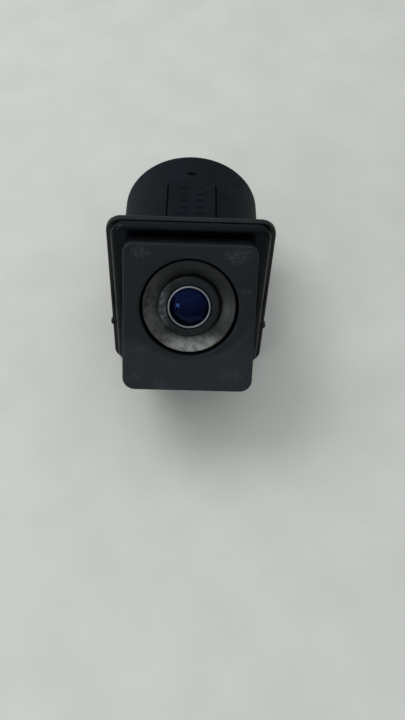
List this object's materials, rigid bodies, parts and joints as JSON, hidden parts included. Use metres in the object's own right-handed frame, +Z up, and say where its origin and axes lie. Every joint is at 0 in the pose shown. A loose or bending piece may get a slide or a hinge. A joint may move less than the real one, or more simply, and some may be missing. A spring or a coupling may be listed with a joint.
{
  "type": "backup camera",
  "caption": "Sealed vehicle backup camera with a tilted square lens block, gasketed flange, round rear housing and keyed connector socket.",
  "frame": {"origin": "middle of the camera's footprint, on the flat surface it lies on", "axes": "+Z up; +Y towards the connector, so the lens block faces -Y; +X to the right seen from the lens side. The axis of the round housing falls 11.8 degrees towards the rear, because the camera rests on the lower edge of its gasket and the rear rim of the round housing."},
  "size_m": [0.0342, 0.0622, 0.0435],
  "materials": {
    "housing_plastic": "satin black moulding, fine grain, lightly scuffed",
    "rear_plastic": "satin black moulding, fine grain",
    "gasket_rubber": "matt black rubber",
    "seal_silicone": "orange silicone",
    "vent_white": "white porous membrane",
    "carrier_grey": "dark grey moulding",
    "tin_plate": "bright tin plate",
    "trim_plastic": "glossy black, hazed by wear",
    "lens_black": "black anodised, satin gloss",
    "bright_metal": "bright turned metal",
    "coated_glass": "polished glass with a blue anti-reflection coating",
    "clear_glass": "polished clear glass",
    "filter_glass": "pale cyan filter glass",
    "black_shim": "matt black",
    "holder_plastic": "black moulding",
    "board_laminate": "green solder mask",
    "chip_black": "black moulded package",
    "sensor_ceramic": "dark grey ceramic",
    "screw_steel": "plain steel",
    "flex_amber": "amber polyimide film",
    "socket_cream": "cream moulding",
    "capacitor_yellow": "yellow moulded package"
  },
  "bodies": {
    "root": {"front_housing": "housing_plastic", "flange_gasket": "gasket_rubber", "rear_housing": "rear_plastic", "housing_seal": "gasket_rubber", "vent_membrane": "vent_white", "terminal_carrier": "carrier_grey", "connector_seal": "seal_silicone", "terminal_pin_1": "tin_plate", "terminal_pin_2": "tin_plate", "terminal_pin_3": "tin_plate", "terminal_pin_4": "tin_plate", "lens_trim_ring": "trim_plastic", "lens_barrel": "lens_black", "lens_retaining_ring": "bright_metal", "front_lens_element": "coated_glass", "lens_element_2": "clear_glass", "lens_element_3": "clear_glass", "lens_element_4": "clear_glass", "lens_spacer_1": "black_shim", "lens_spacer_2": "black_shim", "aperture_stop": "black_shim", "lens_lock_ring": "bright_metal", "lens_seal_ring": "gasket_rubber", "lens_holder": "holder_plastic", "ir_filter": "filter_glass", "sensor_cover_glass": "clear_glass", "image_sensor": "sensor_ceramic", "imager_board": "board_laminate", "imager_flex_socket": "socket_cream", "holder_screw_1": "screw_steel", "holder_screw_2": "screw_steel", "board_flex": "flex_amber", "processor_flex_socket": "socket_cream", "processor_board": "board_laminate", "processor_chip": "chip_black", "crystal": "tin_plate", "emi_shield": "tin_plate", "power_inductor": "chip_black", "capacitor_1": "capacitor_yellow", "capacitor_2": "capacitor_yellow", "board_screw_1": "screw_steel", "board_screw_2": "screw_steel", "board_screw_3": "screw_steel"}
  },
  "joints": []
}
